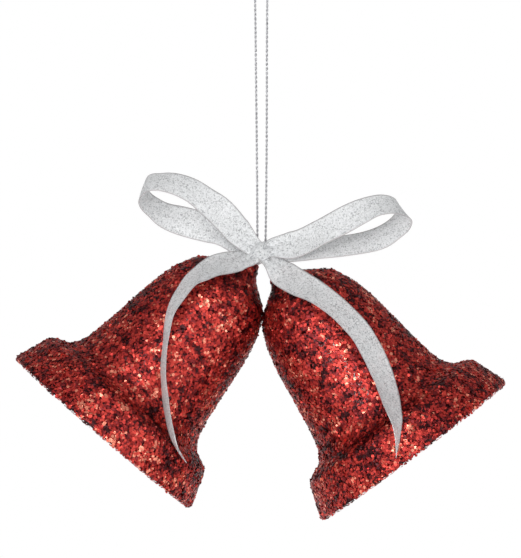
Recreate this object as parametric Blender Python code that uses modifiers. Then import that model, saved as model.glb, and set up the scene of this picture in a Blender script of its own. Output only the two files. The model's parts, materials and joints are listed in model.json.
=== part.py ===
"""A pair of hollow glitter bells that hang from one thread loop under a ribbon bow.

Each bell hangs on its own pin. The pin has an eye at each end: the tie thread runs
through the upper eye, and the clapper hangs in the lower eye, inside the bell.
The origin is the top of the hanging thread. +X is to the right, the bow faces -Y.
Lengths below are in millimetres and are turned into metres as the meshes are made.
"""
import math

import bmesh
import bpy
import numpy as np
from mathutils import Matrix, Vector

MM = 0.001
GAP = 0.3                      # air between neighbours that touch on the real thing

# thread
THREAD_R = 0.4
LOOP_DROP = 92.0               # top of the hanging loop down to the middle of its knot
KNOT_SIZE = (1.8, 1.4, 1.0)    # half sizes of the thread's knot
KNOT = Vector((0.0, 0.0, -LOOP_DROP))

# bells
MOUTH_R = 38.0
LIP_TOP_R = 33.5
LIP_HEIGHT = 12.3
BELL_HEIGHT = 75.5
WALL = 1.4
CAVITY_TOP = 66.4              # height of the hollow's ceiling above the mouth
CEILING_EDGE = (6.5, 66.1)     # (radius, height) where the ceiling turns down into the wall
CROWN_BORE_R = 0.75
AROUND = 40                    # facets round a bell

# (radius, height above the mouth) from the top of the crown down to the lip's shoulder
CROWN_TO_LIP = [
    (2.8, 75.5), (4.0, 73.2), (5.2, 71.3), (6.8, 69.8), (9.8, 67.8), (14.0, 64.6),
    (16.9, 59.2), (18.5, 54.5), (20.3, 46.0), (22.4, 30.5), (24.5, 19.8), (27.6, 14.9),
]

# pins, measured down from the point where the tie thread crosses the upper eye
WIRE_R = 0.4
EYE_R = 1.65                   # to the middle of the wire
EYE_DROP = 0.55                # the eye's centre lies this far below the thread in it
CROWN_DROP = 2.95              # down to the bell's crown
WASHER = (3.0, 0.8)            # radius, thickness
LOWER_EYE_DROP = 16.2
EYE_OPENING = math.radians(75)

# clappers
CLAPPER_PIVOT_DROP = LOWER_EYE_DROP + EYE_DROP
CLAPPER_LENGTH = 42.0          # from its pivot to the middle of the bead
CLAPPER_LEAN = 21.0            # degrees between the bell's axis and the resting clapper
BEAD_R = 6.0
BEAD_BORE_R = 1.25
CLAPPER_KNOT_R = 1.5
CLAPPER_THREAD_R = 0.35
STRAND_HALF_GAP = 1.1          # half the distance between a thread's two strands at an eye
STRANDS_APART = 0.12           # half the air between the clapper's strands inside its bead
STRANDS_CLOSED = 4.0           # height above the bead at which the strands have met
THREAD_TUCK = 0.2              # depth of the thread's lower turn inside the bead's bore

# side: (sign, tilt of the bell in degrees, upper eye's place from the thread's knot)
BELLS = {
    "left": (-1, 40.7, (-1.45, 0.0, -2.6)),
    "right": (1, 36.9, (3.7, 0.0, -5.5)),
}

# ribbon
RIBBON_WIDTH = 10.0
RIBBON_THICK = 0.4
GATHERED = 0.55                # share of its width that the ribbon keeps at the knot
GATHER_RUN = 9.0               # length over which it spreads to its full width
BOW_KNOT_AT = (0.0, -6.3, -2.3)      # from the thread's knot
BOW_KNOT_SIZE = (3.5, 2.7, 3.1)      # half sizes
DAB_SIZE = (1.1, 0.75, 1.1)          # half sizes
DAB_AT = (0.0, -2.65, 0.3)           # from the thread's knot

# The ribbon's runs, from the thread's knot: middle of the ribbon, then the way across it.
LEFT_LOOP = [
    ((-4.0, -7.0, 1.0), (-0.55, -0.25, -0.80)),
    ((-8.0, -8.0, 5.3), (-0.60, -0.33, -0.73)),
    ((-12.9, -11.0, 10.7), (-0.63, -0.25, -0.74)),
    ((-17.6, -13.5, 14.5), (-0.49, -0.48, -0.73)),
    ((-23.4, -15.0, 18.6), (-0.26, -0.60, -0.76)),
    ((-30.0, -15.5, 20.9), (-0.09, -0.73, -0.67)),
    ((-36.0, -13.8, 21.1), (-0.13, -0.82, -0.55)),
    ((-39.4, -9.8, 18.9), (-0.22, -0.70, -0.68)),
    ((-38.7, -6.3, 15.3), (-0.25, -0.75, -0.55)),
    ((-35.8, -4.8, 12.6), (-0.33, -0.72, -0.60)),
    ((-31.5, -4.2, 9.9), (-0.23, -0.53, -0.82)),
    ((-25.3, -4.2, 8.0), (-0.13, -0.20, -0.97)),
    ((-18.7, -4.6, 6.2), (-0.13, -0.25, -0.95)),
    ((-12.5, -5.0, 4.0), (-0.10, -0.50, -0.85)),
    ((-4.4, -3.9, -1.2), (-0.10, -0.50, -0.85)),
]
RIGHT_LOOP = [
    ((4.1, -7.0, -0.6), (0.40, -0.40, -0.80)),
    ((11.9, -8.7, 0.6), (0.43, -0.50, -0.75)),
    ((19.3, -11.5, 4.2), (0.45, -0.60, -0.66)),
    ((26.4, -14.0, 7.9), (0.38, -0.49, -0.79)),
    ((33.0, -15.5, 11.2), (0.30, -0.56, -0.77)),
    ((38.5, -15.5, 13.3), (0.11, -0.74, -0.67)),
    ((43.4, -13.2, 13.5), (0.15, -0.80, -0.58)),
    ((47.2, -9.6, 11.8), (0.46, -0.66, -0.58)),
    ((46.9, -6.4, 8.6), (0.47, -0.72, -0.50)),
    ((44.4, -4.8, 5.8), (0.33, -0.70, -0.62)),
    ((40.3, -4.2, 3.1), (0.25, -0.66, -0.70)),
    ((34.7, -4.2, 1.3), (0.07, -0.70, -0.70)),
    ((26.5, -4.5, 0.0), (-0.03, -0.72, -0.68)),
    ((19.3, -4.8, -0.9), (-0.06, -0.74, -0.66)),
    ((4.5, -3.9, -1.9), (-0.05, -0.60, -0.80)),
]
LEFT_TAIL = [
    ((-4.3, -8.6, -4.0), (0.25, -0.70, -0.67)),
    ((-8.7, -10.8, -4.9), (0.17, -0.75, -0.64)),
    ((-15.3, -16.8, -6.8), (0.13, -0.80, -0.58)),
    ((-20.0, -20.6, -9.4), (0.32, -0.84, -0.42)),
    ((-24.0, -23.0, -12.4), (0.34, -0.91, -0.25)),
    ((-27.7, -25.2, -17.7), (0.33, -0.93, -0.15)),
    ((-30.3, -26.6, -23.3), (0.27, -0.96, 0.00)),
    ((-31.3, -27.3, -29.7), (0.19, -0.98, 0.00)),
    ((-32.2, -28.0, -37.2), (0.17, -0.98, 0.00)),
    ((-32.2, -28.6, -44.5), (0.19, -0.98, 0.00)),
    ((-31.1, -29.5, -53.8), (0.20, -0.97, 0.05)),
    ((-29.6, -31.4, -61.2), (0.17, -0.98, 0.05)),
    ((-27.3, -31.6, -66.8), (0.15, -0.98, 0.00)),
    ((-23.2, -29.2, -72.6), (0.12, -0.98, 0.00)),
]
RIGHT_TAIL = [
    ((3.9, -8.8, -5.4), (-0.40, -0.60, -0.60)),
    ((7.6, -11.0, -9.4), (-0.45, -0.48, -0.75)),
    ((12.7, -15.8, -12.6), (-0.47, -0.51, -0.72)),
    ((19.0, -20.3, -16.0), (-0.47, -0.65, -0.58)),
    ((24.5, -22.5, -20.1), (-0.43, -0.71, -0.55)),
    ((28.8, -24.0, -24.1), (-0.43, -0.71, -0.55)),
    ((33.0, -25.1, -29.0), (-0.47, -0.70, -0.54)),
    ((36.4, -26.2, -34.8), (-0.52, -0.70, -0.50)),
    ((39.0, -27.7, -40.5), (-0.53, -0.73, -0.43)),
    ((40.9, -30.6, -45.8), (-0.52, -0.82, -0.23)),
    ((42.4, -35.4, -51.5), (-0.45, -0.88, -0.17)),
    ((43.5, -39.6, -57.1), (-0.34, -0.93, -0.15)),
    ((43.7, -42.2, -62.2), (-0.30, -0.95, 0.00)),
    ((43.2, -43.6, -68.5), (-0.20, -0.97, 0.00)),
]
TAIL_CUT = 12.0                # length of the slanted cut at a tail's end

# the hanging thread's route, (x, z) from the top of the loop, left strand first
HANG_ROUTE = [
    (-1.2, -90.6), (-1.3, -75.0), (-1.45, -58.0), (-1.65, -40.0), (-1.85, -22.0),
    (-2.0, -10.0), (-2.05, -4.6), (-1.55, -1.35), (0.0, 0.0), (1.55, -1.35),
    (2.05, -4.6), (2.05, -10.0), (1.95, -22.0), (1.9, -40.0), (1.85, -58.0),
    (1.7, -75.0), (1.5, -90.6),
]
HANG_STEP = 2.45

PARTS = "christmas_bell_ornament"


def clear_scene():
    """Remove every object, so that a second run starts empty."""
    for ob in list(bpy.data.objects):
        bpy.data.objects.remove(ob)


def material(name, colour, roughness, metallic):
    """A Principled material in one colour."""
    made = bpy.data.materials.new(name)
    made.use_nodes = True
    shader = made.node_tree.nodes["Principled BSDF"]
    shader.inputs["Base Color"].default_value = (*colour, 1.0)
    shader.inputs["Roughness"].default_value = roughness
    shader.inputs["Metallic"].default_value = metallic
    return made


def glitter_red():
    return material("glitter_red", (0.52, 0.02, 0.03), 0.35, 0.6)


def silver_ribbon():
    return material("silver_ribbon", (0.72, 0.73, 0.75), 0.45, 0.4)


def silver_thread():
    return material("silver_thread", (0.62, 0.63, 0.66), 0.35, 0.7)


def steel_wire():
    return material("steel_wire", (0.6, 0.6, 0.62), 0.25, 1.0)


def clapper_silver():
    return material("clapper_silver", (0.68, 0.69, 0.72), 0.2, 0.9)


def clear_glue():
    return material("clear_glue", (0.85, 0.83, 0.76), 0.3, 0.0)


def add_object(name, data, finish, place=None):
    """Link a mesh or curve into the ornament's collection under its node's name."""
    ob = bpy.data.objects.new(name, data)
    ob.data.materials.append(finish)
    bpy.data.collections[PARTS].objects.link(ob)
    ob.matrix_world = place if place is not None else Matrix.Identity(4)
    return ob


def smooth(points, per_span):
    """Catmull-Rom curve through the points, with per_span steps between neighbours."""
    p = np.asarray(points, float)
    p = np.vstack([2 * p[0] - p[1], p, 2 * p[-1] - p[-2]])
    t = np.linspace(0, 1, per_span, endpoint=False)[:, None]
    spans = [
        0.5 * (2 * b + (c - a) * t + (2 * a - 5 * b + 4 * c - d) * t**2 + (3 * b - a - 3 * c + d) * t**3)
        for a, b, c, d in zip(p, p[1:], p[2:], p[3:])
    ]
    return np.vstack(spans + [p[-2]])


def even_steps(points, step):
    """The same route with its points a near-even step apart."""
    fine = smooth(points, 24)
    run = np.concatenate([[0], np.cumsum(np.linalg.norm(np.diff(fine, axis=0), axis=1))])
    stops = np.linspace(0, run[-1], round(run[-1] / step) + 1)
    return np.column_stack([np.interp(stops, run, axis) for axis in fine.T])


def unit(rows):
    return rows / np.linalg.norm(rows, axis=-1, keepdims=True)


def tube(name, route, radius, finish, place=None, closed=False, resolution=2):
    """A round wire or thread along a route, with filled ends unless it is closed."""
    curve = bpy.data.curves.new(name, "CURVE")
    curve.dimensions = "3D"
    curve.bevel_depth = radius * MM
    curve.bevel_resolution = resolution
    curve.use_fill_caps = True
    spline = curve.splines.new("POLY")
    spline.points.add(len(route) - 1)
    spline.points.foreach_set("co", np.column_stack([np.asarray(route) * MM, np.ones(len(route))]).ravel())
    spline.use_cyclic_u = closed
    return add_object(name, curve, finish, place)


def turned(name, outline, around, finish, place=None):
    """A closed outline of (radius, height) turned once about Z; it runs down its outer side."""
    mesh = bpy.data.meshes.new(name)
    corners = [(r * MM, 0.0, h * MM) for r, h in outline]
    edges = [(i, (i + 1) % len(corners)) for i in range(len(corners))]
    mesh.from_pydata(corners, edges, [])
    ob = add_object(name, mesh, finish, place)
    screw = ob.modifiers.new("turn", "SCREW")
    screw.axis = "Z"
    screw.steps = screw.render_steps = around
    screw.use_merge_vertices = True
    screw.merge_threshold = 0.00001
    screw.use_smooth_shade = True
    return ob


def ball(name, half_sizes, centre, finish, segments=20, rings=12):
    """A round lump with its three half sizes."""
    mesh = bpy.data.meshes.new(name)
    bm = bmesh.new()
    bmesh.ops.create_uvsphere(bm, u_segments=segments, v_segments=rings, radius=1.0)
    bmesh.ops.scale(bm, vec=[s * MM for s in half_sizes], verts=bm.verts)
    bm.to_mesh(mesh)
    bm.free()
    mesh.shade_smooth()
    return add_object(name, mesh, finish, Matrix.Translation(Vector(centre) * MM))


def ribbon(name, stations, cut=0.0):
    """A flat band whose middle line and cross direction follow the stations.

    It is gathered where it enters the knot: at its first station, and at its last one
    unless it has a cut. A cut is a slant: the near edge ends early and the far edge, the
    one that lies against the bell, runs on to the point.
    """
    line = smooth([middle for middle, _ in stations], 2)
    along = unit(np.gradient(line, axis=0))
    across = smooth([way for _, way in stations], 2)
    across = unit(across - (across * along).sum(1, keepdims=True) * along)
    run = np.concatenate([[0], np.cumsum(np.linalg.norm(np.diff(line, axis=0), axis=1))])
    from_knot = run if cut else np.minimum(run, run[-1] - run)
    width = RIBBON_WIDTH * np.interp(from_knot, [0, GATHER_RUN], [GATHERED, 1.0])[:, None]
    slant = np.clip((run[-1] - run) / cut, 0.04, 1.0)[:, None] if cut else 1.0
    far = line - across * width / 2
    near = far + across * width * slant
    corners = np.stack([far, near], axis=1).reshape(-1, 3) + np.array(KNOT)
    faces = [(2 * i, 2 * i + 1, 2 * i + 3, 2 * i + 2) for i in range(len(line) - 1)]
    mesh = bpy.data.meshes.new(name)
    mesh.from_pydata((corners * MM).tolist(), [], faces)
    mesh.shade_smooth()
    ob = add_object(name, mesh, silver_ribbon())
    wall = ob.modifiers.new("thickness", "SOLIDIFY")
    wall.thickness = RIBBON_THICK * MM
    wall.offset = 0.0
    return ob


def eye_pin_route():
    """Middle line of the pin: an open ring, the stem, and a second open ring below."""
    sweep = np.linspace(-math.pi / 2 + EYE_OPENING / 2, 1.5 * math.pi - EYE_OPENING / 2, 22)
    ring = EYE_R * np.column_stack([np.cos(sweep), np.zeros(len(sweep)), np.sin(sweep)])
    upper = ring - [0, 0, EYE_DROP]
    lower = ring[::-1] * [-1, 1, -1] - [0, 0, LOWER_EYE_DROP]
    bend = EYE_R + 2.2 * WIRE_R
    stem = np.linspace(-EYE_DROP - bend, -LOWER_EYE_DROP + bend, 5)
    return np.vstack([upper, [(0, 0, z) for z in stem], lower])


def crown_pin(side, place):
    tube(f"{side}_crown_pin", eye_pin_route(), WIRE_R, steel_wire(), place, resolution=1)


def stop_washer(side, place):
    """The washer on the pin that the bell's crown sits on, inside the bell."""
    radius, thick = WASHER
    top = BELL_HEIGHT + CROWN_DROP - CAVITY_TOP + GAP
    outline = [(CROWN_BORE_R, -top), (radius, -top), (radius, -top - thick), (CROWN_BORE_R, -top - thick)]
    turned(f"{side}_stop_washer", outline, 24, steel_wire(), place)


def shell_outline():
    """The bell's section: down the outside, across the rim, and up the inside to the bore."""
    outside = np.vstack([smooth(CROWN_TO_LIP, 2), [(LIP_TOP_R, LIP_HEIGHT), (MOUTH_R, 0.0)]])
    along = np.gradient(outside, axis=0)
    inward = unit(np.column_stack([along[:, 1], -along[:, 0]]))
    inside = outside + WALL * inward
    inside[-1] = (MOUTH_R - WALL, 0.0)
    hollow = inside[inside[:, 1] < CAVITY_TOP - 1.0][::-1]
    ceiling = [CEILING_EDGE, (CROWN_BORE_R, CAVITY_TOP)]
    outline = np.vstack([[(CROWN_BORE_R, BELL_HEIGHT)], outside, hollow, ceiling])
    return outline - [0.0, BELL_HEIGHT + CROWN_DROP]


def bell_shell(side, place):
    turned(f"{side}_bell_shell", shell_outline(), AROUND, glitter_red(), place)


def tie_thread(side, eye):
    """A bight of thread from the knot down through the pin's upper eye and back."""
    to_knot = -Vector(eye).normalized()
    strand_top = Vector(eye).length - KNOT_SIZE[2] - GAP / 2
    bow = np.linspace(-math.pi, 0, 9)
    across = STRAND_HALF_GAP * np.cos(bow)
    up = STRAND_HALF_GAP * (1 + np.sin(bow))
    across = np.concatenate([[-STRAND_HALF_GAP], across, [STRAND_HALF_GAP]])
    up = np.concatenate([[strand_top], up, [strand_top]])
    route = np.outer(across, (0, 1, 0)) + np.outer(up, to_knot) + np.array(KNOT + Vector(eye))
    tube(f"{side}_tie_thread", route, THREAD_R, silver_thread())


def clapper(side, place):
    """The bead on its doubled thread, hung in the lower eye, with a knot under it."""
    bead_at = -CLAPPER_LENGTH
    bow = np.linspace(0, math.pi, 9)
    top = [(0, STRAND_HALF_GAP * math.cos(b), STRAND_HALF_GAP * (math.sin(b) - 1)) for b in bow]
    close = CLAPPER_THREAD_R + STRANDS_APART
    foot = bead_at - BEAD_R + THREAD_TUCK
    strand = [(0, -close, bead_at + BEAD_R + STRANDS_CLOSED), (0, -close, foot)]
    route = top + strand + [(0, -y, z) for _, y, z in reversed(strand)]
    finish = silver_thread()
    tube(f"{side}_clapper_thread", route, CLAPPER_THREAD_R, finish, place, closed=True, resolution=1)

    edge = math.asin(BEAD_BORE_R / BEAD_R)
    arc = np.linspace(math.pi / 2 - edge, -math.pi / 2 + edge, 14)
    section = [(BEAD_R * math.cos(a), bead_at + BEAD_R * math.sin(a)) for a in arc]
    turned(f"{side}_clapper_bead", section, 24, clapper_silver(), place)

    knot_at = Vector((0, 0, foot - CLAPPER_THREAD_R - GAP - CLAPPER_KNOT_R)) * MM
    knot = ball(f"{side}_clapper_knot", [CLAPPER_KNOT_R] * 3, (0, 0, 0), silver_thread(), 14, 8)
    knot.matrix_world = place @ Matrix.Translation(knot_at)


def bell(side):
    """One bell with its tie thread, pin, washer and clapper."""
    sign, tilt, eye = BELLS[side]
    turn = Matrix.Rotation(math.radians(-sign * tilt), 4, "Y")
    place = Matrix.Translation((KNOT + Vector(eye)) * MM) @ turn
    tie_thread(side, eye)
    crown_pin(side, place)
    stop_washer(side, place)
    bell_shell(side, place)
    lean = Matrix.Rotation(math.radians(sign * CLAPPER_LEAN), 4, "Y")
    clapper(side, place @ Matrix.Translation((0, 0, -CLAPPER_PIVOT_DROP * MM)) @ lean)


def hanging_thread():
    route = even_steps([(x, 0.0, z) for x, z in HANG_ROUTE], HANG_STEP)
    tube("hang_thread", route, THREAD_R, silver_thread())
    ball("thread_knot", KNOT_SIZE, KNOT, silver_thread(), 16, 10)


def bow():
    """The ribbon's knot, two loops and two tails, and the dab of glue behind the knot."""
    ball("bow_knot", BOW_KNOT_SIZE, KNOT + Vector(BOW_KNOT_AT), silver_ribbon())
    ribbon("bow_loop_left", LEFT_LOOP)
    ribbon("bow_loop_right", RIGHT_LOOP)
    ribbon("bow_tail_left", LEFT_TAIL, TAIL_CUT)
    ribbon("bow_tail_right", RIGHT_TAIL, TAIL_CUT)
    ball("glue_dab", DAB_SIZE, KNOT + Vector(DAB_AT), clear_glue(), 14, 8)


def main():
    clear_scene()
    collection = bpy.data.collections.get(PARTS) or bpy.data.collections.new(PARTS)
    if collection.name not in bpy.context.scene.collection.children:
        bpy.context.scene.collection.children.link(collection)
    hanging_thread()
    bow()
    for side in BELLS:
        bell(side)


main()
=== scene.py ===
"""A pair of hollow glitter bells under a silver ribbon bow, hung from one loop of thread.

Every shape is worked out with numpy: a surface of two parameters on a grid, or a round
section carried along a path. Lengths are in millimetres and are turned into metres as the
meshes are made. +X is to the right, the bow faces -Y, and the top of the thread is the origin.
"""
import json
import math

import bpy
import numpy as np
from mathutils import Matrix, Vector


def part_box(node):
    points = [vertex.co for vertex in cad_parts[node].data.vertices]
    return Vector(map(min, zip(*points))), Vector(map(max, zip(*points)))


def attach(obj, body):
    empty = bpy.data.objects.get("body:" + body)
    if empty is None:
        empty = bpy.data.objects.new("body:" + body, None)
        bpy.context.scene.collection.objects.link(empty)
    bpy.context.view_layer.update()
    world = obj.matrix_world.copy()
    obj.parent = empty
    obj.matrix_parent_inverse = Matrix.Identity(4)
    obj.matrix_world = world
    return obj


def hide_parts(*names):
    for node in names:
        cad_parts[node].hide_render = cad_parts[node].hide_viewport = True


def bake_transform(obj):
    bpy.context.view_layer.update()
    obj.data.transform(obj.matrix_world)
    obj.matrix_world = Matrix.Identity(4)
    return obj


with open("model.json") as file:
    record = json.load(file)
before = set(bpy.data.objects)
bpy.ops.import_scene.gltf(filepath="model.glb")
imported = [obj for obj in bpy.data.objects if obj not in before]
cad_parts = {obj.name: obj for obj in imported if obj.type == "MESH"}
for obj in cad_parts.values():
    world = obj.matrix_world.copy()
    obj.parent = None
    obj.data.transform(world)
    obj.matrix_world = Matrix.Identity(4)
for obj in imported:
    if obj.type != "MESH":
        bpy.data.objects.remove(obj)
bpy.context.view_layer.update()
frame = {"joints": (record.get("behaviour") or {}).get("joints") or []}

MM = 0.001
JOINTS = {joint["name"]: joint for joint in frame["joints"]}
SIDES = ("left", "right")
UP = np.array([0.0, 0.0, 1.0])
BACK = np.array([0.0, 1.0, 0.0])

# the bells' turned outline: (radius, height above the mouth), crown first
CROWN_TO_LIP = [
    (2.8, 75.5), (4.0, 73.2), (5.2, 71.3), (6.8, 69.8), (9.8, 67.8), (14.0, 64.6),
    (16.9, 59.2), (18.5, 54.5), (20.3, 46.0), (22.4, 30.5), (24.5, 19.8), (27.6, 14.9),
]
LIP_TOP = (33.5, 12.3)
MOUTH_R = 38.0
LIP_EASE, RIM_EASE = 1.2, 0.6  # how far the two corners of the lip are rounded
WALL = 1.4
BELL_HEIGHT = 75.5
CROWN_DROP = 2.95              # from the pin's upper eye down to the crown
CAVITY_TOP = 66.4
CEILING_EDGE = (6.5, 66.1)
CROWN_BORE_R = 0.75
SHELL_COLUMNS = 144            # round a turned bell
FLARE_STEPS = 6                # from each of the outline's points to the next
OUTER_STEP, INNER_STEP = 0.7, 0.9        # between the points of its two outlines

# glitter
FLAKES = 38000                 # on each bell
FLAKE_R = (0.30, 0.62)         # smallest and largest, to a corner
FLAKE_LIFT = (0.10, 0.62)      # how far the flakes' middles stand off the shell
FLAKE_TILT = 11.0              # usual lean in degrees
STRAY_SHARE, STRAY_TILT = 0.24, 34.0     # share of flakes that lean more, and their usual lean
CLUMPS = ((2.2, 0.8), (7.0, 0.5))        # width of the clumps of like flakes, and how strong they are
DUST = 3000                    # stray flakes inside each bell
DUST_DEPTH = 7.0               # usual distance of these from the rim
GOLDEN_ANGLE = math.pi * (3 - math.sqrt(5))
FLAKE_CORNERS = 6
SHADES = {                     # dark to bright: colour, roughness and share of the flakes; the spread is partly painted light, from painted shade of flakes turned from the light to painted highlight of flakes facing it
    # near black: painted shade of flakes turned away from the light, on top of their real lean
    "flake_garnet_painted_shade": ((0.040, 0.004, 0.006), 0.30, 0.13),
    "flake_crimson": ((0.19, 0.014, 0.016), 0.38, 0.19),
    "flake_red": ((0.41, 0.028, 0.024), 0.42, 0.31),
    "flake_scarlet": ((0.60, 0.054, 0.040), 0.40, 0.30),
    # pale rose: painted highlight, the sparkle of flakes facing the light
    "flake_rose_painted_highlight": ((0.95, 0.30, 0.20), 0.25, 0.07),
}

# pins, threads and clappers, measured down from the upper eye along the pin
WIRE_R = 0.4
WIRE_SIDES = 16
EYE_R = 1.65
EYE_DROP = 0.55
EYE_OPENING = math.radians(75)
LOWER_EYE_DROP = 16.2
WASHER_R, WASHER_THICK = 3.0, 0.8
WASHER_GAP, WASHER_CHIP = 0.3, 0.15      # under the ceiling, and its broken edges
SMALL_COLUMNS = 64             # round a washer or a bead
CLAPPER_LENGTH = 42.0
BEAD_R = 6.0
BEAD_BORE_R = 1.25
BEAD_SEAM = 0.12               # the moulding line's height
CLAPPER_KNOT_R = 1.5
CLAPPER_THREAD_R, CLAPPER_THREAD_LAY = 0.35, 2.4
THREAD_ABOVE_BEAD, THREAD_IN_KNOT = 4.0, 0.2     # where its strands meet, and where they end
CLAPPER_KNOT_THREAD_R = 0.45
STRAND_HALF_GAP = 1.1
TIE_CLEAR = 1.5                # from the middle of the thread's knot down to the tie threads' ends

# thread: two plies laid round each other
THREAD_R = 0.4
THREAD_LAY = 3.0               # length of one turn of the plies
TIE_LAY = 2.2
PLY_SIDES, KNOT_SIDES = 8, 10  # round each section
PLY_STEPS = 14                 # in one turn of the plies
HANG_ROUTE = [
    (-1.2, -90.6), (-1.3, -75.0), (-1.45, -58.0), (-1.65, -40.0), (-1.85, -22.0),
    (-2.0, -10.0), (-2.05, -4.6), (-1.55, -1.35), (0.0, 0.0), (1.55, -1.35),
    (2.05, -4.6), (2.05, -10.0), (1.95, -22.0), (1.9, -40.0), (1.85, -58.0),
    (1.7, -75.0), (1.5, -90.6),
]

# ribbon, its runs measured from the thread's knot: middle line, then the way across it
RIBBON_WIDTH = 10.0
RIBBON_THICK = 0.22
GATHERED = 0.55                # share of the width that is left at the knot
GATHER_RUN = 9.0               # distance over which a strip spreads to its full width
PLEATS, PLEAT_DEPTH = 2.5, 0.45          # waves across the gathered strip, and their size
HOLLOW = 0.25                  # how far a strip is cupped across its width
FLUTTER = 0.05                 # small waves along it
TAIL_CUT = 12.0                # length of a tail's slanting end
STRIP_COLUMNS = 17             # across a strip
WRAP_AXIS = np.array([-0.61, 0.0, 0.79])         # square to the knot's slanting folds
WRAP_HALF_LENGTH, WRAP_HALF_HEIGHT = 3.1, 3.45
WRAP_FOLDS = 4.6               # radians of fold from the knot's middle to its end
FOLD_FOOT, FOLD_SIZE = 0.84, 0.22        # the swell in a fold's crease, and what the fold adds
LEFT_LOOP = [
    ((-4.0, -7.0, 1.0), (-0.55, -0.25, -0.80)),
    ((-8.0, -8.0, 5.3), (-0.60, -0.33, -0.73)),
    ((-12.9, -11.0, 10.7), (-0.63, -0.25, -0.74)),
    ((-17.6, -13.5, 14.5), (-0.49, -0.48, -0.73)),
    ((-23.4, -15.0, 18.6), (-0.26, -0.60, -0.76)),
    ((-30.0, -15.5, 20.9), (-0.09, -0.73, -0.67)),
    ((-36.0, -13.8, 21.1), (-0.13, -0.82, -0.55)),
    ((-39.4, -9.8, 18.9), (-0.22, -0.70, -0.68)),
    ((-38.7, -6.3, 15.3), (-0.25, -0.75, -0.55)),
    ((-35.8, -4.8, 12.6), (-0.33, -0.72, -0.60)),
    ((-31.5, -4.2, 9.9), (-0.23, -0.53, -0.82)),
    ((-25.3, -4.2, 8.0), (-0.13, -0.20, -0.97)),
    ((-18.7, -4.6, 6.2), (-0.13, -0.25, -0.95)),
    ((-12.5, -5.0, 4.0), (-0.10, -0.50, -0.85)),
    ((-4.4, -3.9, -1.2), (-0.10, -0.50, -0.85)),
]
RIGHT_LOOP = [
    ((4.1, -7.0, -0.6), (0.40, -0.40, -0.80)),
    ((11.9, -8.7, 0.6), (0.43, -0.50, -0.75)),
    ((19.3, -11.5, 4.2), (0.45, -0.60, -0.66)),
    ((26.4, -14.0, 7.9), (0.38, -0.49, -0.79)),
    ((33.0, -15.5, 11.2), (0.30, -0.56, -0.77)),
    ((38.5, -15.5, 13.3), (0.11, -0.74, -0.67)),
    ((43.4, -13.2, 13.5), (0.15, -0.80, -0.58)),
    ((47.2, -9.6, 11.8), (0.46, -0.66, -0.58)),
    ((46.9, -6.4, 8.6), (0.47, -0.72, -0.50)),
    ((44.4, -4.8, 5.8), (0.33, -0.70, -0.62)),
    ((40.3, -4.2, 3.1), (0.25, -0.66, -0.70)),
    ((34.7, -4.2, 1.3), (0.07, -0.70, -0.70)),
    ((26.5, -4.5, 0.0), (-0.03, -0.72, -0.68)),
    ((19.3, -4.8, -0.9), (-0.06, -0.74, -0.66)),
    ((4.5, -3.9, -1.9), (-0.05, -0.60, -0.80)),
]
LEFT_TAIL = [
    ((-4.3, -8.6, -4.0), (0.25, -0.70, -0.67)),
    ((-8.7, -10.8, -4.9), (0.17, -0.75, -0.64)),
    ((-15.3, -16.8, -6.8), (0.13, -0.80, -0.58)),
    ((-20.0, -20.6, -9.4), (0.32, -0.84, -0.42)),
    ((-24.0, -23.0, -12.4), (0.34, -0.91, -0.25)),
    ((-27.7, -25.2, -17.7), (0.33, -0.93, -0.15)),
    ((-30.3, -26.6, -23.3), (0.27, -0.96, 0.00)),
    ((-31.3, -27.3, -29.7), (0.19, -0.98, 0.00)),
    ((-32.2, -28.0, -37.2), (0.17, -0.98, 0.00)),
    ((-32.2, -28.6, -44.5), (0.19, -0.98, 0.00)),
    ((-31.1, -29.5, -53.8), (0.20, -0.97, 0.05)),
    ((-29.6, -31.4, -61.2), (0.17, -0.98, 0.05)),
    ((-27.3, -31.6, -66.8), (0.15, -0.98, 0.00)),
    ((-23.2, -29.2, -72.6), (0.12, -0.98, 0.00)),
]
RIGHT_TAIL = [
    ((3.9, -8.8, -5.4), (-0.40, -0.60, -0.60)),
    ((7.6, -11.0, -9.4), (-0.45, -0.48, -0.75)),
    ((12.7, -15.8, -12.6), (-0.47, -0.51, -0.72)),
    ((19.0, -20.3, -16.0), (-0.47, -0.65, -0.58)),
    ((24.5, -22.5, -20.1), (-0.43, -0.71, -0.55)),
    ((28.8, -24.0, -24.1), (-0.43, -0.71, -0.55)),
    ((33.0, -25.1, -29.0), (-0.47, -0.70, -0.54)),
    ((36.4, -26.2, -34.8), (-0.52, -0.70, -0.50)),
    ((39.0, -27.7, -40.5), (-0.53, -0.73, -0.43)),
    ((40.9, -30.6, -45.8), (-0.52, -0.82, -0.23)),
    ((42.4, -35.4, -51.5), (-0.45, -0.88, -0.17)),
    ((43.5, -39.6, -57.1), (-0.34, -0.93, -0.15)),
    ((43.7, -42.2, -62.2), (-0.30, -0.95, 0.00)),
    ((43.2, -43.6, -68.5), (-0.20, -0.97, 0.00)),
]

# studio
VIEW_HEIGHT = 0.186            # metres, at the bow
VIEW_MIDDLE = Vector((-0.0002, 0.0, -0.103))
LENS, SENSOR = 400, 36
AIM_HEIGHT = -0.12             # of all the lights
FLOOR_X, FLOOR_Y, FLOOR_Z = (-5000.0, 5000.0), (-8000.0, 1350.0), -262.0


# ---------------------------------------------------------------- curves and grids

def unit(rows):
    """Each row divided by its own length."""
    return rows / np.linalg.norm(rows, axis=-1, keepdims=True)


def smooth(points, per_span):
    """Catmull-Rom curve: each span is the cubic whose slopes are half the step between neighbours."""
    p = np.asarray(points, float)
    p = np.vstack([2 * p[0] - p[1], p, 2 * p[-1] - p[-2]])
    t = np.linspace(0, 1, per_span, endpoint=False)[:, None]
    a, b, c, d = (p[i:len(p) - 3 + i, None] for i in range(4))
    bend = 2 * a - 5 * b + 4 * c - d
    twist = 3 * b - a - 3 * c + d
    spans = 0.5 * (2 * b + (c - a) * t + bend * t**2 + twist * t**3)
    return np.vstack([spans.reshape(-1, p.shape[1]), p[-2]])


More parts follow.
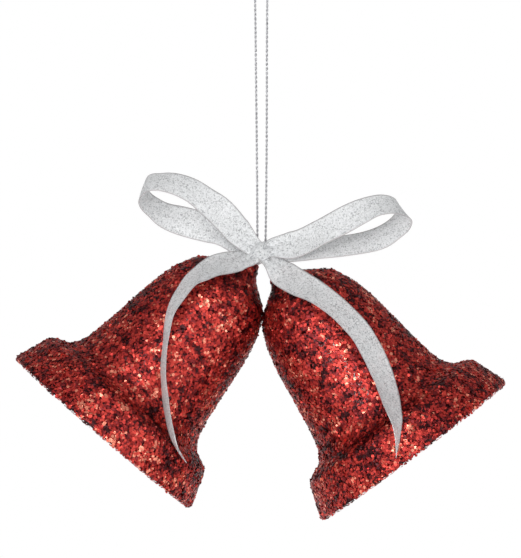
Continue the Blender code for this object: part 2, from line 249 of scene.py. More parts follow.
def run_of(line):
    """Length along a line from its start, at each of its points."""
    return np.concatenate([[0], np.cumsum(np.linalg.norm(np.diff(line, axis=0), axis=1))])


def even(line, step):
    """The same line with its points an equal step apart."""
    run = run_of(line)
    stops = np.linspace(0, run[-1], round(run[-1] / step) + 1)
    return np.column_stack([np.interp(stops, run, axis) for axis in line.T])


def eased(before, corner, after, reach, steps=6):
    """A rounded corner: the parabola that leaves each side at a distance of reach from the corner."""
    before, corner, after = (np.array(p, float) for p in (before, corner, after))
    start = corner + reach * unit(before - corner)
    end = corner + reach * unit(after - corner)
    t = np.linspace(0, 1, steps)[:, None]
    return (1 - t) ** 2 * start + 2 * t * (1 - t) * corner + t**2 * end


def fill(mesh, points, corners, starts):
    """Put points in millimetres and faces, as their corners and first corners, into a mesh in metres."""
    mesh.vertices.add(len(points))
    mesh.vertices.foreach_set("co", (points * MM).astype(np.float32).ravel())
    mesh.loops.add(len(corners))
    mesh.loops.foreach_set("vertex_index", corners.astype(np.int32))
    mesh.polygons.add(len(starts))
    mesh.polygons.foreach_set("loop_start", starts.astype(np.int32))
    mesh.update(calc_edges=True)


def add_grid(name, rows, finishes, closed=False, round_section=True, caps=False, uv=None, slots=None):
    """A surface from a grid of points in millimetres, rows along it and columns round or across it.

    Each cell is one face. closed joins the last row to the first, round_section the last
    column to the first, and caps fills the first and the last row.
    """
    count, across = rows.shape[:2]
    down = np.arange(count if closed else count - 1)[:, None]
    side = np.arange(across if round_section else across - 1)[None, :]
    below, beside = (down + 1) % count, (side + 1) % across
    cells = np.stack([down * across + side, down * across + beside,
                      below * across + beside, below * across + side], axis=-1)
    mesh = bpy.data.meshes.new(name)
    corners = cells.ravel()
    starts = np.arange(cells.size // 4) * 4
    if caps:
        ring = np.arange(across)
        corners = np.concatenate([corners, ring[::-1], (count - 1) * across + ring])
        starts = np.append(starts, [cells.size, cells.size + across])
    fill(mesh, rows.reshape(-1, 3), corners, starts)
    if uv is not None:
        layer = mesh.uv_layers.new(name="weave")
        layer.uv.foreach_set("vector", uv.reshape(-1, 2)[corners].astype(np.float32).ravel())
    mesh.shade_smooth()
    ob = bpy.data.objects.new(name, mesh)
    for finish in finishes:
        mesh.materials.append(finish)
    if slots is not None:
        mesh.polygons.foreach_set("material_index", np.repeat(slots, side.size))
    bpy.context.scene.collection.objects.link(ob)
    return ob


def tube_rows(path, radius, sides, across):
    """Rings of a round section along a path.

    Each ring is the point plus radius times cosine of the turn along one normal and sine
    along the other; the normals are across, made square to the path, and their cross product.
    """
    along = unit(np.gradient(path, axis=0))
    first = unit(across - (across * along).sum(-1, keepdims=True) * along)
    second = np.cross(along, first)
    turn = np.linspace(0, 2 * math.pi, sides, endpoint=False)[None, :, None]
    radius = np.broadcast_to(np.asarray(radius, float).reshape(-1, 1, 1), (len(path), 1, 1))
    return path[:, None] + radius * (np.cos(turn) * first[:, None] + np.sin(turn) * second[:, None])


def joined(name, parts):
    """Several grids' objects made one piece."""
    bpy.ops.object.select_all(action="DESELECT")
    for part in parts:
        part.select_set(True)
    bpy.context.view_layer.objects.active = parts[0]
    bpy.ops.object.join()
    parts[0].name = parts[0].data.name = name
    return parts[0]


# ---------------------------------------------------------------- finishes

def new_finish(name, **sockets):
    """A material, its tree and its shader, with plain values set on the shader's sockets."""
    made = bpy.data.materials.new(name)
    made.use_nodes = True
    shader = made.node_tree.nodes["Principled BSDF"]
    for socket, value in sockets.items():
        shader.inputs[socket.replace("_", " ")].default_value = value
    return made, made.node_tree, shader


def node(tree, kind, inputs=(), **settings):
    """A node with its settings and its inputs, which are values or sockets to link from."""
    made = tree.nodes.new(kind)
    for name, value in settings.items():
        setattr(made, name, value)
    for name, value in dict(inputs).items():
        if isinstance(value, bpy.types.NodeSocket):
            tree.links.new(value, made.inputs[name])
        else:
            made.inputs[name].default_value = value
    return made


def ramp(tree, value, stops):
    """A colour ramp: (place, colour) stops read by a value."""
    made = node(tree, "ShaderNodeValToRGB", {"Fac": value})
    band = made.color_ramp.elements
    while len(band) < len(stops):
        band.new(0.5)
    for element, (place, colour) in zip(band, stops):
        element.position = place
        element.color = (*colour, 1.0)
    return made.outputs["Color"]


def bumped(tree, shader, height, strength, depth):
    """Fine relief on a shader from a height of 0 to 1, its depth in millimetres."""
    bump = node(tree, "ShaderNodeBump", {"Height": height, "Strength": strength, "Distance": depth * MM})
    tree.links.new(bump.outputs["Normal"], shader.inputs["Normal"])


def glitter_coat():
    """Red lacquer full of fine flakes: cells of many reds, each tilted its own way; the darkest reds are
    painted shade, for depth under the flakes.
    """
    made, tree, shader = new_finish("glitter_coat", Metallic=0.85, Roughness=0.34, Coat_Weight=0.3)
    place = node(tree, "ShaderNodeTexCoord").outputs["Object"]
    cells = node(tree, "ShaderNodeTexVoronoi", {"Vector": place, "Scale": 1400.0})
    pick = node(tree, "ShaderNodeSeparateColor", {"Color": cells.outputs["Color"]}).outputs["Red"]
    # the ramp's near-black end is painted shade, for depth under the loose flakes
    colour = ramp(tree, pick, [
        (0.0, (0.014, 0.001, 0.002)), (0.25, (0.07, 0.002, 0.004)),
        (0.6, (0.24, 0.009, 0.010)), (1.0, (0.43, 0.021, 0.021)),
    ])
    tree.links.new(colour, shader.inputs["Base Color"])
    vector = "ShaderNodeVectorMath"
    lean = node(tree, vector, {0: cells.outputs["Color"], 1: (0.5, 0.5, 0.5)}, operation="SUBTRACT")
    lean = node(tree, vector, {0: lean.outputs[0], "Scale": 0.9}, operation="SCALE")
    straight = node(tree, "ShaderNodeNewGeometry").outputs["Normal"]
    leaned = node(tree, vector, {0: straight, 1: lean.outputs[0]}, operation="ADD")
    leaned = node(tree, vector, {0: leaned.outputs[0]}, operation="NORMALIZE")
    tree.links.new(leaned.outputs[0], shader.inputs["Normal"])
    return made


def red_plastic():
    """The bell's bare inside: moulded red plastic with faint flow marks."""
    made, tree, shader = new_finish("red_plastic", Roughness=0.32, Coat_Weight=0.15)
    place = node(tree, "ShaderNodeTexCoord").outputs["Object"]
    flow = node(tree, "ShaderNodeTexNoise", {"Vector": place, "Scale": 60.0, "Detail": 3.0})
    colour = ramp(tree, flow.outputs["Fac"], [(0.3, (0.30, 0.012, 0.014)), (0.7, (0.42, 0.020, 0.022))])
    tree.links.new(colour, shader.inputs["Base Color"])
    bumped(tree, shader, flow.outputs["Fac"], strength=0.15, depth=0.4)
    return made


def flake_finishes():
    """One finish for each shade of flake, the darkest being painted shade and the brightest painted
    highlight.
    """
    return [
        new_finish(name, Base_Color=(*colour, 1.0), Metallic=0.72, Roughness=roughness)[0]
        for name, (colour, roughness, _) in SHADES.items()
    ]


def ribbon_cloth():
    """Sheer silver ribbon: fine crossing threads, metal specks, and a denser, duller edge."""
    made, tree, shader = new_finish("ribbon_cloth", Metallic=0.1, Roughness=0.6, Alpha=0.72)
    weave = node(tree, "ShaderNodeUVMap", uv_map="weave").outputs["UV"]
    cells = node(tree, "ShaderNodeTexVoronoi", {"Vector": weave, "Scale": 2.7})
    specks = node(tree, "ShaderNodeSeparateColor", {"Color": cells.outputs["Color"]}).outputs["Red"]
    colour = ramp(tree, specks, [
        (0.0, (0.40, 0.41, 0.42)), (0.25, (0.74, 0.75, 0.76)),
        (0.6, (0.84, 0.85, 0.86)), (1.0, (0.94, 0.95, 0.96)),
    ])
    half = RIBBON_WIDTH / 2
    across = node(tree, "ShaderNodeSeparateXYZ", {"Vector": weave}).outputs["X"]
    off = node(tree, "ShaderNodeMath", {0: across, 1: half}, operation="SUBTRACT").outputs[0]
    off = node(tree, "ShaderNodeMath", {0: off}, operation="ABSOLUTE").outputs[0]
    edge = node(tree, "ShaderNodeMapRange", {"Value": off, "From Min": half - 0.5, "From Max": half - 0.2})
    edged = {"Factor": edge.outputs[0], "A": colour, "B": (0.56, 0.54, 0.55, 1.0)}
    mixed = node(tree, "ShaderNodeMix", edged, data_type="RGBA")
    tree.links.new(mixed.outputs["Result"], shader.inputs["Base Color"])
    wave = {"Vector": weave, "Scale": 0.62}
    lengthways, crossways = (
        node(tree, "ShaderNodeTexWave", wave, bands_direction=way).outputs["Fac"] for way in ("X", "Y")
    )
    height = node(tree, "ShaderNodeMath", {0: lengthways, 1: crossways}, operation="MULTIPLY")
    height = node(tree, "ShaderNodeMath", {0: height.outputs[0], 1: specks}, operation="ADD")
    bumped(tree, shader, height.outputs[0], strength=0.5, depth=0.1)
    return made


def silver_thread():
    """Thread wound with flat silver tinsel: bright and dark bands along it, which in its colour are painted
    glints and painted shade, and in its relief real bumps.
    """
    made, tree, shader = new_finish("silver_thread", Metallic=0.75, Roughness=0.36)
    wind = node(tree, "ShaderNodeUVMap", uv_map="weave").outputs["UV"]
    bands = node(tree, "ShaderNodeTexNoise", {
        "Vector": wind, "Scale": 2.5, "Detail": 3.0, "Roughness": 0.7,
    }).outputs["Fac"]
    # the bright and dark bands in this colour are painted glints and painted shade of the tinsel
    colour = ramp(tree, bands, [
        (0.35, (0.22, 0.22, 0.23)), (0.5, (0.50, 0.50, 0.52)), (0.65, (0.85, 0.85, 0.87)),
    ])
    tree.links.new(colour, shader.inputs["Base Color"])
    bumped(tree, shader, bands, strength=0.6, depth=0.08)
    return made


def marked_metal(name, metallic, scale, detail, tones, roughness):
    """Metal whose tone and gloss both follow one fine noise."""
    made, tree, shader = new_finish(name, Metallic=metallic)
    place = node(tree, "ShaderNodeTexCoord").outputs["Object"]
    marks = node(tree, "ShaderNodeTexNoise", {"Vector": place, "Scale": scale, "Detail": detail})
    marks = marks.outputs["Fac"]
    tree.links.new(ramp(tree, marks, tones), shader.inputs["Base Color"])
    low, high = roughness
    gloss = node(tree, "ShaderNodeMapRange", {"Value": marks, "To Min": low, "To Max": high})
    tree.links.new(gloss.outputs[0], shader.inputs["Roughness"])
    return made


def drawn_wire():
    """Bright steel wire with fine marks from drawing."""
    tones = [(0.3, (0.42, 0.42, 0.44)), (0.7, (0.62, 0.62, 0.64))]
    return marked_metal("drawn_wire", 1.0, 900.0, 2.0, tones, (0.18, 0.36))


def silvered_bead():
    """Silvered plastic with worn, duller patches."""
    tones = [(0.35, (0.50, 0.50, 0.53)), (0.6, (0.74, 0.75, 0.78))]
    return marked_metal("silvered_bead", 0.95, 350.0, 4.0, tones, (0.12, 0.34))


def set_glue():
    """Hot-melt glue, cloudy and a little uneven."""
    made, tree, shader = new_finish("set_glue", Roughness=0.28, Subsurface_Weight=0.2)
    place = node(tree, "ShaderNodeTexCoord").outputs["Object"]
    cloud = node(tree, "ShaderNodeTexNoise", {"Vector": place, "Scale": 800.0})
    colour = ramp(tree, cloud.outputs["Fac"], [(0.3, (0.72, 0.69, 0.60)), (0.7, (0.88, 0.86, 0.80))])
    tree.links.new(colour, shader.inputs["Base Color"])
    return made


def pale_floor():
    """A matt floor with a faint glow of its own, as of a lit table."""
    made, tree, shader = new_finish("pale_floor", Roughness=0.7, Emission_Strength=0.45)
    shader.inputs["Emission Color"].default_value = (1.0, 1.0, 1.0, 1.0)
    place = node(tree, "ShaderNodeTexCoord").outputs["Object"]
    tone = node(tree, "ShaderNodeTexNoise", {"Vector": place, "Scale": 8.0})
    colour = ramp(tree, tone.outputs["Fac"], [(0.3, (0.93, 0.93, 0.925)), (0.7, (0.95, 0.95, 0.945))])
    tree.links.new(colour, shader.inputs["Base Color"])
    return made


# ---------------------------------------------------------------- places from the frame

def middle_of(name):
    """The middle of a CAD piece's box, in millimetres."""
    low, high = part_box(name)
    return np.array((low + high) / 2) / MM


KNOT = middle_of("thread_knot")


def bell_axes(side):
    """A bell's own place: its pin's upper eye, and its right, back and up directions as rows."""
    joint = JOINTS[f"{side}_spin"]
    up = unit(np.array(joint["axis"], float))
    return np.array(joint["pos_m"]) / MM, np.array([np.cross(BACK, up), BACK, up])


def clapper_axes(side):
    """A clapper's own place: its pivot in the lower eye, and its directions, with up away from its bead."""
    pivot = np.array(JOINTS[f"{side}_clapper_swing"]["pos_m"]) / MM
    up = unit(pivot - middle_of(f"{side}_clapper_bead"))
    return pivot, np.array([np.cross(BACK, up), BACK, up])


def placed(points, axes):
    """Points of a piece's own frame in the ornament's frame."""
    origin, ways = axes
    return origin + points @ ways


# ---------------------------------------------------------------- bells

def outer_outline():
    """From the bore across the crown, down the outside of a bell, and round its rim to the inner edge."""
    flare = smooth(CROWN_TO_LIP, FLARE_STEPS)
    shoulder = eased(flare[-1], LIP_TOP, (MOUTH_R, 0), LIP_EASE)
    rim = eased(LIP_TOP, (MOUTH_R, 0), (MOUTH_R - WALL, 0), RIM_EASE)
    bore, inner_edge = (CROWN_BORE_R, BELL_HEIGHT), (MOUTH_R - WALL + 0.3, 0)
    return even(np.vstack([[bore], flare, shoulder, rim, [inner_edge]]), OUTER_STEP)


def inner_outline():
    """Up the inside of a bell, a wall's thickness in, and across the ceiling to the bore."""
    outside = np.vstack([smooth(CROWN_TO_LIP, FLARE_STEPS), [LIP_TOP, (MOUTH_R, 0)]])
    along = np.gradient(outside, axis=0)
    inside = outside + WALL * unit(np.column_stack([along[:, 1], -along[:, 0]]))
    inside[-1] = (MOUTH_R - WALL, 0.25)
    inside = inside[inside[:, 1] < CAVITY_TOP - 1.0][::-1]
    return even(np.vstack([inside, [CEILING_EDGE, (CROWN_BORE_R, CAVITY_TOP)]]), INNER_STEP)


def turned_rows(outline, around):
    """An outline of (radius, height) turned about the upright axis.

    A point is the radius times the cosine and the sine of the turn, at its height.
    """
    turn = np.linspace(0, 2 * math.pi, around, endpoint=False)
    r, h = outline[:, :1], outline[:, 1:]
    return np.stack([r * np.cos(turn), r * np.sin(turn), np.broadcast_to(h, (len(r), around))], axis=-1)


def bell_shell(side, coat, plastic):
    """The hollow bell: glitter coat outside and over the rim, bare plastic inside."""
    outer, inner = outer_outline(), inner_outline()
    outline = np.vstack([outer, inner]) - [0, BELL_HEIGHT + CROWN_DROP]
    rows = placed(turned_rows(outline, SHELL_COLUMNS), bell_axes(side))
    slots = np.repeat([0, 1], [len(outer), len(inner)])
    shell = add_grid(f"{side}_shell", rows[::-1], [coat, plastic], closed=True, slots=slots[::-1])
    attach(shell, f"{side}_bell")
    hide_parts(f"{side}_bell_shell")


def clumps(points, width, rng):
    """A smooth random field: the sum of 40 cosine waves of about the given width in random directions."""
    waves = unit(rng.normal(size=(40, 3))) * 2 * math.pi / (width * rng.uniform(1.4, 2.6, (40, 1)))
    return np.cos(points @ waves.T + rng.uniform(0, 2 * math.pi, 40)).sum(1) / math.sqrt(20)


def outside_places(outline, rng):
    """Places for flakes all along an outline, each with an equal share of the turned surface's area."""
    step = np.diff(run_of(outline))
    share = np.concatenate([[0], np.cumsum(step * (outline[1:, 0] + outline[:-1, 0]) / 2)])
    picked = (np.arange(FLAKES) + rng.random(FLAKES)) / FLAKES * share[-1]
    return np.interp(picked, share, np.arange(len(outline)))


def rim_places(outline, rng):
    """Places for the stray flakes, ever fewer away from the outline's start at the rim."""
    return np.interp(rng.exponential(DUST_DEPTH, DUST), run_of(outline), np.arange(len(outline)))


def flakes(name, side, outline, at, finishes, rng):
    """Six-sided flakes on a bell, at places along an outline and a golden angle on from each other.

    Each lies on the surface and leans by a random angle in a random direction. Its shade
    goes by a random score to which the clumps add, so that like flakes lie together. The
    darkest shade is painted shade and the brightest painted highlight, so the clumps gather
    these into patches.
    """
    count, pick = len(at), np.arange(len(outline))
    along = unit(np.gradient(outline, axis=0))
    radius, height, slope_r, slope_h = (np.interp(at, pick, a)[:, None] for a in (*outline.T, *along.T))
    turn = GOLDEN_ANGLE * np.arange(count) + rng.normal(0, 0.02, count)
    out = np.column_stack([np.cos(turn), np.sin(turn), np.zeros(count)])
    around = np.column_stack([-np.sin(turn), np.cos(turn), np.zeros(count)])
    down = slope_r * out + slope_h * UP
    straight = slope_r * UP - slope_h * out

    usual = np.where(rng.random(count) < STRAY_SHARE, STRAY_TILT, FLAKE_TILT)
    lean = np.radians(np.minimum(np.abs(rng.normal(0, usual)), 80))[:, None]
    toward = rng.uniform(0, 2 * math.pi, count)[:, None]
    facing = unit(straight + np.tan(lean) * (np.cos(toward) * down + np.sin(toward) * around))
    first = unit(np.cross(facing, unit(rng.normal(size=(count, 3)))))
    second = np.cross(facing, first)
    foot = radius * out + (height - BELL_HEIGHT - CROWN_DROP) * UP
    middle = foot + rng.uniform(*FLAKE_LIFT, (count, 1)) * straight
    corner = (np.arange(FLAKE_CORNERS) * 2 * math.pi / FLAKE_CORNERS)[None, :, None]
    size = rng.uniform(*FLAKE_R, (count, 1, 1))
    points = middle[:, None] + size * (np.cos(corner) * first[:, None] + np.sin(corner) * second[:, None])
    score = rng.normal(size=count) + sum(strength * clumps(foot, width, rng) for width, strength in CLUMPS)
    shares = np.cumsum([share for _, _, share in SHADES.values()])
    # the darkest and brightest shades picked here are painted shade and painted highlight
    shade = np.searchsorted(np.quantile(score, shares[:-1]), score)

    mesh = bpy.data.meshes.new(name)
    points = placed(points.reshape(-1, 3), bell_axes(side))
    fill(mesh, points, np.arange(len(points)), np.arange(count) * FLAKE_CORNERS)
    for finish in finishes:
        mesh.materials.append(finish)
    mesh.polygons.foreach_set("material_index", shade.astype(np.int32))
    glitter = bpy.data.objects.new(name, mesh)
    bpy.context.scene.collection.objects.link(glitter)
    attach(glitter, f"{side}_bell")


def bell_glitter(side, finishes, rng):
    """The flakes on a bell and its rim, clear of the bore, and the stray ones inside its mouth."""
    outside, inside = outer_outline(), inner_outline()
    outside = outside[outside[:, 0] > CROWN_BORE_R + FLAKE_R[1]]
    flakes(f"{side}_glitter", side, outside, outside_places(outside, rng), finishes, rng)
    flakes(f"{side}_glitter_dust", side, inside, rim_places(inside, rng), finishes, rng)


# ---------------------------------------------------------------- threads and wire

def wound_uv(run, sides, start=0.0):
    """The tinsel's places: the run along the thread, and a short step for each side of its section."""
    return np.stack(np.broadcast_arrays(run[:, None], np.arange(sides)[None, :] * 0.15 + start), axis=-1)


def plied(name, path, across, finish, radius=THREAD_R, lay=THREAD_LAY):
    """Two plies twisted round each other along a path.

    Each ply's middle circles the path at half the thread's radius, once in each lay, half a
    turn from the other, and carries a round section of that same half radius.
    """
    ply_r = radius / 2
    path = even(path, lay / PLY_STEPS)
    run = run_of(path)
    along = unit(np.gradient(path, axis=0))
    first = unit(across - (across * along).sum(-1, keepdims=True) * along)
    second = np.cross(along, first)
    plies = []
    for start in (0, math.pi):
        turn = (2 * math.pi * run / lay + start)[:, None]
        middle = path + ply_r * (np.cos(turn) * first + np.sin(turn) * second)
        rows = tube_rows(middle, ply_r, PLY_SIDES, across)
        plies.append(add_grid(name, rows, [finish], caps=True, uv=wound_uv(run, PLY_SIDES, start)))
    return joined(name, plies)


def hanging_thread(finish):
    """One loop of thread: up from the knot, over the top and down into the knot again."""
    route = even(smooth([(x, 0, z) for x, z in HANG_ROUTE], 24), 0.5)
    thread = plied("hanging_thread", route, BACK, finish)
    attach(thread, "hanger")
    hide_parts("hang_thread")


def knotted(name, centre, half, steps, radius, finish):
    """A knot of thread: a trefoil pressed into a box, with a round section.

    A point is (sin t + 2 sin 2t, cos t - 2 cos 2t, -sin 3t) over the largest of each, times
    the three rows of half, which are the box's own half extents.
    """
    t = np.linspace(0, 2 * math.pi, steps)
    loop = np.column_stack([np.sin(t) + 2 * np.sin(2 * t), np.cos(t) - 2 * np.cos(2 * t), -np.sin(3 * t)])
    route = centre + loop / np.abs(loop).max(0) @ half
    rows = tube_rows(route, radius, KNOT_SIDES, unit(route - centre))
    return add_grid(name, rows, [finish], caps=True, uv=wound_uv(run_of(route), KNOT_SIDES))


def thread_knot(finish):
    """The hanging thread's knot, its flat side to the front."""
    low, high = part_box("thread_knot")
    wide, deep, tall = np.array(high - low) / MM / 2 - THREAD_R
    half = np.array([(wide, 0, 0), (0, 0, tall), (0, deep, 0)])
    knot = knotted("thread_knot_turns", KNOT, half, 90, THREAD_R, finish)
    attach(knot, "hanger")
    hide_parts("thread_knot")


def tie_thread(side, finish):
    """The bight that holds a pin's eye: down one side, half a turn, and up the other."""
    eye = bell_axes(side)[0]
    rise = KNOT - eye
    top = np.linalg.norm(rise) - TIE_CLEAR
    bow = np.linspace(-math.pi, 0, 25)
    width = np.concatenate([[-STRAND_HALF_GAP], STRAND_HALF_GAP * np.cos(bow), [STRAND_HALF_GAP]])
    height = np.concatenate([[top], STRAND_HALF_GAP * (1 + np.sin(bow)), [top]])
    route = eye + np.outer(width, BACK) + np.outer(height, unit(rise))
    across = unit(np.cross(BACK, rise))
    thread = plied(f"{side}_tie", route, across, finish, lay=TIE_LAY)
    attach(thread, f"{side}_tie")
    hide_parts(f"{side}_tie_thread")


def crown_pin(side, finish):
    """The wire pin: an open ring, a straight stem and a second open ring, as one bent wire."""
    sweep = np.linspace(-math.pi / 2 + EYE_OPENING / 2, 1.5 * math.pi - EYE_OPENING / 2, 40)
    ring = EYE_R * np.column_stack([np.cos(sweep), np.zeros(len(sweep)), np.sin(sweep)])
    bend = EYE_R + 2.2 * WIRE_R
    stem = np.linspace(-EYE_DROP - bend, -LOWER_EYE_DROP + bend, 12)
    upper = ring - [0, 0, EYE_DROP]
    lower = ring[::-1] * [-1, 1, -1] - [0, 0, LOWER_EYE_DROP]
    route = np.vstack([upper, [(0, 0, z) for z in stem], lower])
    rows = placed(tube_rows(route, WIRE_R, WIRE_SIDES, BACK), bell_axes(side))
    pin = add_grid(f"{side}_pin", rows, [finish], caps=True)
    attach(pin, f"{side}_pin")
    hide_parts(f"{side}_crown_pin")


def stop_washer(side, finish):
    """A flat ring with broken edges."""
    top = -(BELL_HEIGHT + CROWN_DROP - CAVITY_TOP) - WASHER_GAP
    foot, chip = top - WASHER_THICK, WASHER_CHIP
    inner, outer = CROWN_BORE_R, WASHER_R
    outline = np.array([
        (inner, top - chip), (inner + chip, top), (outer - chip, top), (outer, top - chip),
        (outer, foot + chip), (outer - chip, foot), (inner + chip, foot), (inner, foot + chip),
    ])
    rows = placed(turned_rows(outline, SMALL_COLUMNS), bell_axes(side))
    washer = add_grid(f"{side}_washer", rows[::-1], [finish], closed=True)
    washer.data.shade_flat()
    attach(washer, f"{side}_pin")
    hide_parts(f"{side}_stop_washer")


def clapper_thread(side, finish):
    """A doubled thread: up through the bead, half a turn over the pin's lower eye, and down again."""
    axes = clapper_axes(side)
    bow = np.linspace(0, math.pi, 17)
    close = CLAPPER_THREAD_R
    meet = BEAD_R + THREAD_ABOVE_BEAD - CLAPPER_LENGTH
    foot = THREAD_IN_KNOT - BEAD_R - CLAPPER_LENGTH
    top = [(0, STRAND_HALF_GAP * math.cos(b), STRAND_HALF_GAP * (math.sin(b) - 1)) for b in bow]
    route = np.array([(0, close, foot), (0, close, meet)] + top + [(0, -close, meet), (0, -close, foot)])
    thread = plied(f"{side}_clapper_cord", placed(route, axes), axes[1][0], finish,
                   radius=CLAPPER_THREAD_R, lay=CLAPPER_THREAD_LAY)
    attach(thread, f"{side}_clapper")
    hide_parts(f"{side}_clapper_thread")


def clapper_bead(side, finish):
    """A bored ball with a moulding line, the swell of a bell curve about its middle."""
    edge = math.asin(BEAD_BORE_R / BEAD_R)
    arc = np.linspace(math.pi / 2 - edge, -math.pi / 2 + edge, 60)
    reach = BEAD_R + BEAD_SEAM * np.exp(-(np.degrees(arc) / 1.6) ** 2)
    outline = np.column_stack([reach * np.cos(arc), reach * np.sin(arc) - CLAPPER_LENGTH])
    rows = placed(turned_rows(outline, SMALL_COLUMNS), clapper_axes(side))
    bead = add_grid(f"{side}_bead", rows[::-1], [finish], closed=True)
    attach(bead, f"{side}_clapper")
    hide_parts(f"{side}_clapper_bead")


def clapper_knot(side, finish):
    """The knot under the bead."""
    half = (CLAPPER_KNOT_R - CLAPPER_KNOT_THREAD_R) * clapper_axes(side)[1]
    centre = middle_of(f"{side}_clapper_knot")
    knot = knotted(f"{side}_bead_knot", centre, half, 70, CLAPPER_KNOT_THREAD_R, finish)
    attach(knot, f"{side}_clapper")
    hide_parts(f"{side}_clapper_knot")


# ---------------------------------------------------------------- bow

def tucked(station):
    """A station inside the bow's knot, a quarter of the way from its middle to a strip's end."""
    middle, way = station
    inside = middle_of("bow_knot") - KNOT
    return tuple(inside + 0.25 * (np.array(middle) - inside)), way


def ribbon(name, stations, finish, cut=0.0):
    """A strip of ribbon, and its length.

    A point is the middle line plus its share of the width along the cross direction, plus,
    along the face's own direction, pleats, a hollow and a flutter. The pleats are a cosine
    across the width that fades as the strip leaves the knot, the hollow is the square of the
    share, and the flutter is a sine of the run. A cut end narrows from its near edge.
    """
    stations = [tucked(stations[0])] + stations + ([] if cut else [tucked(stations[-1])])
    line = smooth([middle for middle, _ in stations], 12)
    across = smooth([way for _, way in stations], 12)
    along = unit(np.gradient(line, axis=0))
    across = unit(across - (across * along).sum(1, keepdims=True) * along)
    face = np.cross(along, across)
    run = run_of(line)
    from_knot = run if cut else np.minimum(run, run[-1] - run)
    spread = np.clip(from_knot / GATHER_RUN, 0, 1)[:, None]
    width = RIBBON_WIDTH * (GATHERED + (1 - GATHERED) * spread)
    slant = np.clip((run[-1] - run) / cut, 0.02, 1.0)[:, None] if cut else 1.0
    share = np.linspace(0, 1, STRIP_COLUMNS)[None, :]
    off = (share * slant - 0.5) * width
    pleat = PLEAT_DEPTH * (1 - spread) ** 2 * np.cos(2 * math.pi * PLEATS * share)
    hollow = HOLLOW * (4 * (share - 0.5) ** 2 - 0.4) * spread * slant
    flutter = FLUTTER * np.sin(run[:, None] * 0.55 + 4 * share) * spread
    rows = KNOT + line[:, None] + off[..., None] * across[:, None]
    rows = rows + (pleat - hollow + flutter)[..., None] * face[:, None]
    uv = np.stack(np.broadcast_arrays(share * slant * RIBBON_WIDTH, run[:, None]), axis=-1)
    strip = add_grid(name, rows, [finish], round_section=False, uv=uv)
    wall = strip.modifiers.new("thickness", "SOLIDIFY")
    wall.thickness = RIBBON_THICK * MM
    wall.offset = 0.0
    return strip, run[-1]


def bow_loop(side, stations, finish):
    """A loop leaves the knot, turns back and runs into the knot again."""
    strip, length = ribbon(f"{side}_loop", stations, finish)
    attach(strip, "hanger")
    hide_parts(f"bow_loop_{side}")


def bow_tail(side, stations, finish):
    """A tail is fixed at the knot and ends in a slanting cut; its place is baked into its mesh."""
    strip, length = ribbon(f"{side}_tail", stations, finish, cut=TAIL_CUT)
    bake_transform(strip)
    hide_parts(f"bow_tail_{side}")


def bow_wrap(finish):
    """The ribbon's knot: a band wound slantwise round the gathered strips, with folds along it.

    A point is the middle plus its place along the slanting axis, plus cosine and sine of
    the turn times the half height and half depth. The folds swell these by the size of a
    cosine along the axis, and both ends close as the root of one minus the share to the eighth.
    """
    low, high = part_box("bow_knot")
    middle, half_depth = middle_of("bow_knot"), (high - low)[1] / MM / 2
    axis = unit(WRAP_AXIS)
    level = np.cross(BACK, axis)
    share = np.sin(np.linspace(-math.pi / 2, math.pi / 2, 72))[1:-1, None]
    turn = np.linspace(0, 2 * math.pi, 72, endpoint=False)[None, :]
    folds = FOLD_FOOT + FOLD_SIZE * np.abs(np.cos(WRAP_FOLDS * share + 0.5 + 0.35 * np.sin(turn)))
    swell = (1 - share**8) ** 0.5 * folds
    rows = (middle + (WRAP_HALF_LENGTH * share)[..., None] * axis
            + (WRAP_HALF_HEIGHT * swell * np.cos(turn))[..., None] * level
            + (half_depth * swell * np.sin(turn))[..., None] * -BACK)
    uv = np.stack(np.broadcast_arrays(RIBBON_WIDTH / 2 + WRAP_HALF_LENGTH * share, turn * 3.0), axis=-1)
    wrap = add_grid("bow_wrap", rows, [finish], caps=True, uv=uv)
    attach(wrap, "hanger")
    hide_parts("bow_knot")


def glue_dab(finish):
    """A drop of glue between the thread's knot and the bow: a flattened ball, uneven round its edge."""
    low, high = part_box("glue_dab")
    middle, half = np.array(low + high) / MM / 2, np.array(high - low) / MM / 2
    rise = np.linspace(-math.pi / 2, math.pi / 2, 26)[1:-1, None]
    turn = np.linspace(0, 2 * math.pi, 40, endpoint=False)[None, :]
    reach = np.cos(rise) ** 0.6 * (1 + 0.06 * np.cos(3 * turn + 1))
    rows = middle + np.stack(np.broadcast_arrays(
        half[0] * reach * np.cos(turn), half[1] * np.sin(rise), -half[2] * reach * np.sin(turn)), axis=-1)
    dab = add_grid("glue", rows, [finish], caps=True)
    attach(dab, "hanger")
    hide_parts("glue_dab")


# ---------------------------------------------------------------- studio

def camera():
    """A long lens straight in front of the bow, level with the middle of the view."""
    data = bpy.data.cameras.new("camera")
    data.lens = LENS
    data.sensor_width = SENSOR
    ob = bpy.data.objects.new("camera", data)
    ob.location = VIEW_MIDDLE - Vector((0, VIEW_HEIGHT * LENS / SENSOR, 0))
    ob.rotation_euler = (math.pi / 2, 0, 0)
    data.clip_end = 50
    bpy.context.scene.collection.objects.link(ob)
    bpy.context.scene.camera = ob


def soft_light(name, place, aim, size, power):
    """A rectangular light in metres and watts, turned to face its aim and out of sight."""
    data = bpy.data.lights.new(name, "AREA")
    data.shape = "RECTANGLE"
    data.size, data.size_y = size
    data.energy = power
    ob = bpy.data.objects.new(name, data)
    ob.location = place
    ob.rotation_euler = (Vector(aim) - Vector(place)).to_track_quat("-Z", "Y").to_euler()
    ob.visible_camera = False
    bpy.context.scene.collection.objects.link(ob)


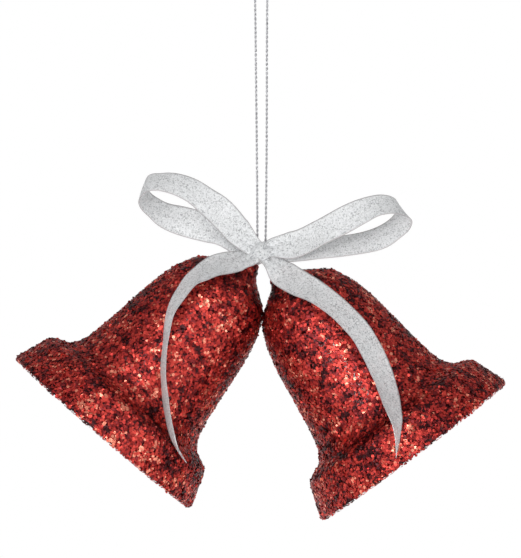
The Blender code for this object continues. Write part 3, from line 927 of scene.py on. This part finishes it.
def studio():
    """A white backdrop, a light all round, strongest from below, four soft boxes and a pale floor."""
    aim = (0, 0, AIM_HEIGHT)
    soft_light("left_box", (-1.0, -2.1, -0.1), aim, (0.6, 0.8), 13)
    soft_light("top_box", (0.1, -2.0, 1.0), aim, (0.9, 0.5), 8)
    soft_light("right_box", (1.3, -1.4, -0.1), aim, (0.5, 0.8), 4.5)
    soft_light("spark_box", (-0.45, -2.2, 0.25), aim, (0.3, 0.3), 8)

    world = bpy.data.worlds.new("studio")
    bpy.context.scene.world = world
    world.use_nodes = True
    tree = world.node_tree
    tree.nodes.clear()
    way = node(tree, "ShaderNodeTexCoord").outputs["Generated"]
    upward = node(tree, "ShaderNodeSeparateXYZ", {"Vector": way}).outputs["Z"]
    upward = node(tree, "ShaderNodeMapRange", {"Value": upward, "From Min": -1.0}).outputs[0]
    room = ramp(tree, upward, [(0.3, (1.0, 1.0, 1.0)), (0.5, (0.7, 0.7, 0.7)), (0.65, (0.28, 0.28, 0.28))])
    lit = node(tree, "ShaderNodeBackground", {"Color": room, "Strength": 1.35})
    seen = node(tree, "ShaderNodeBackground", {"Color": (1.0, 1.0, 1.0, 1.0), "Strength": 1.0})
    from_camera = node(tree, "ShaderNodeLightPath").outputs["Is Camera Ray"]
    choice = node(tree, "ShaderNodeMixShader", {"Fac": from_camera, 1: lit.outputs[0], 2: seen.outputs[0]})
    out = node(tree, "ShaderNodeOutputWorld")
    tree.links.new(choice.outputs[0], out.inputs["Surface"])

    x, y = np.meshgrid(FLOOR_X, FLOOR_Y)
    rows = np.stack([x, y, np.full(x.shape, FLOOR_Z)], axis=-1)
    floor = add_grid("floor", rows, [pale_floor()], round_section=False)
    bpy.context.scene.view_settings.view_transform = "Standard"


def main():
    camera()
    studio()
    rng = np.random.default_rng(24)
    thread, wire, bead, cloth = silver_thread(), drawn_wire(), silvered_bead(), ribbon_cloth()
    coat, plastic, shades = glitter_coat(), red_plastic(), flake_finishes()
    hanging_thread(thread)
    thread_knot(thread)
    bow_wrap(cloth)
    glue_dab(set_glue())
    bow_loop("left", LEFT_LOOP, cloth)
    bow_loop("right", RIGHT_LOOP, cloth)
    bow_tail("left", LEFT_TAIL, cloth)
    bow_tail("right", RIGHT_TAIL, cloth)
    for side in SIDES:
        bell_shell(side, coat, plastic)
        bell_glitter(side, shades, rng)
        tie_thread(side, thread)
        crown_pin(side, wire)
        stop_washer(side, wire)
        clapper_thread(side, thread)
        clapper_bead(side, bead)
        clapper_knot(side, thread)


main()
